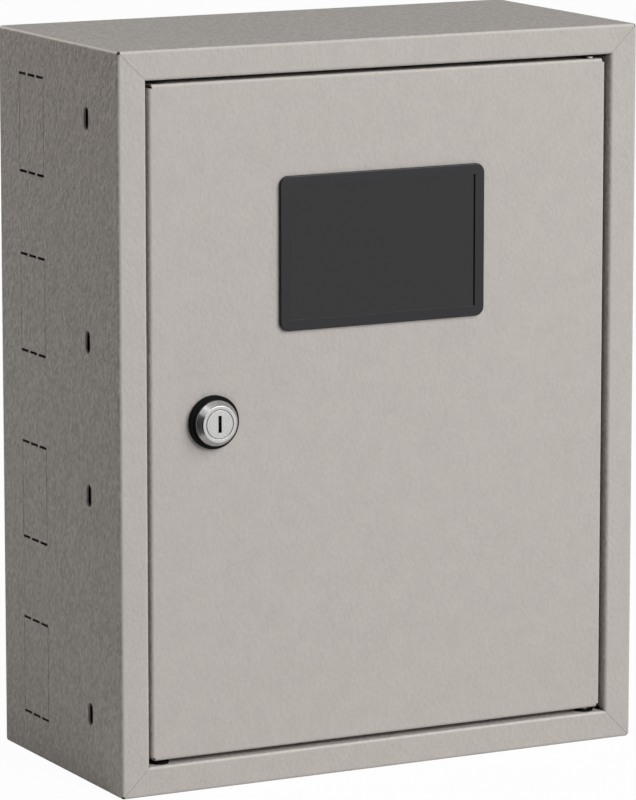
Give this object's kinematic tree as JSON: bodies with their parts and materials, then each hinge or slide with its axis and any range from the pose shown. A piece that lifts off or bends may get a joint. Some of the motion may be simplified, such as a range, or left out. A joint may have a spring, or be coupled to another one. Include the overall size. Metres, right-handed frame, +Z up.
{
  "type": "electric meter box",
  "caption": "Surface-mounted sheet-steel meter box with an inset hinged door, dark viewing window, quarter-turn cam lock, side slots and knock-outs, and a meter plate inside.",
  "frame": {"origin": "middle of the flat back face that goes against the wall", "axes": "+Z up, +X to the right seen from the front, +Y from the front to the back; the door faces -Y"},
  "size_m": [0.31, 0.157, 0.395],
  "materials": {
    "powder_coat": "textured light grey powder coat on steel sheet",
    "black_nylon": "matt black nylon",
    "dark_rim": "dark grey moulded plastic",
    "smoked_pane": "smoked polycarbonate",
    "seal_rubber": "black foam rubber",
    "lock_chrome": "bright chrome on zinc alloy",
    "zinc_steel": "bright zinc plated steel",
    "galvanised_plate": "galvanised steel sheet",
    "bar_brass": "drawn brass",
    "foot_plastic": "dark moulded plastic"
  },
  "bodies": {
    "case": {"enclosure_body": "powder_coat", "upper_hinge_bush": "black_nylon", "lower_hinge_bush": "black_nylon", "upper_hole_plug": "black_nylon", "lower_hole_plug": "black_nylon", "panel_studs": "zinc_steel", "meter_panel": "galvanised_plate", "panel_washers": "zinc_steel", "panel_nuts": "zinc_steel", "din_rail": "galvanised_plate", "din_rail_screws": "zinc_steel", "neutral_bar_feet": "foot_plastic", "neutral_bar": "bar_brass", "neutral_bar_screws": "zinc_steel", "neutral_fixing_screws": "zinc_steel", "earth_bar_feet": "foot_plastic", "earth_bar": "bar_brass", "earth_bar_screws": "zinc_steel", "earth_fixing_screws": "zinc_steel", "earth_stud": "zinc_steel", "earth_washer": "zinc_steel", "earth_nut": "zinc_steel"},
    "door": {"door_panel": "powder_coat", "upper_hinge_pin": "zinc_steel", "lower_hinge_pin": "zinc_steel", "hinge_pin_clips": "zinc_steel", "window_bezel": "dark_rim", "window_seal": "seal_rubber", "window_pane": "smoked_pane", "lock_washer": "black_nylon", "lock_barrel": "lock_chrome", "lock_tooth_washer": "zinc_steel", "lock_nut": "zinc_steel", "door_earth_stud": "zinc_steel", "door_earth_washer": "zinc_steel", "door_earth_nut": "zinc_steel"},
    "lock": {"lock_plug": "lock_chrome", "lock_cam": "zinc_steel", "cam_washer": "zinc_steel", "cam_screw": "zinc_steel"}
  },
  "joints": [
    {"name": "door_hinge", "type": "hinge", "parent": "case", "child": "door", "pos_m": [0.1298, -0.142, 0], "axis": [0, 0, 1], "range_deg": [0, 107]},
    {"name": "lock_turn", "type": "hinge", "parent": "door", "child": "lock", "pos_m": [-0.1004, -0.148, 0], "axis": [0, 1, 0], "range_deg": [0, 90]}
  ]
}
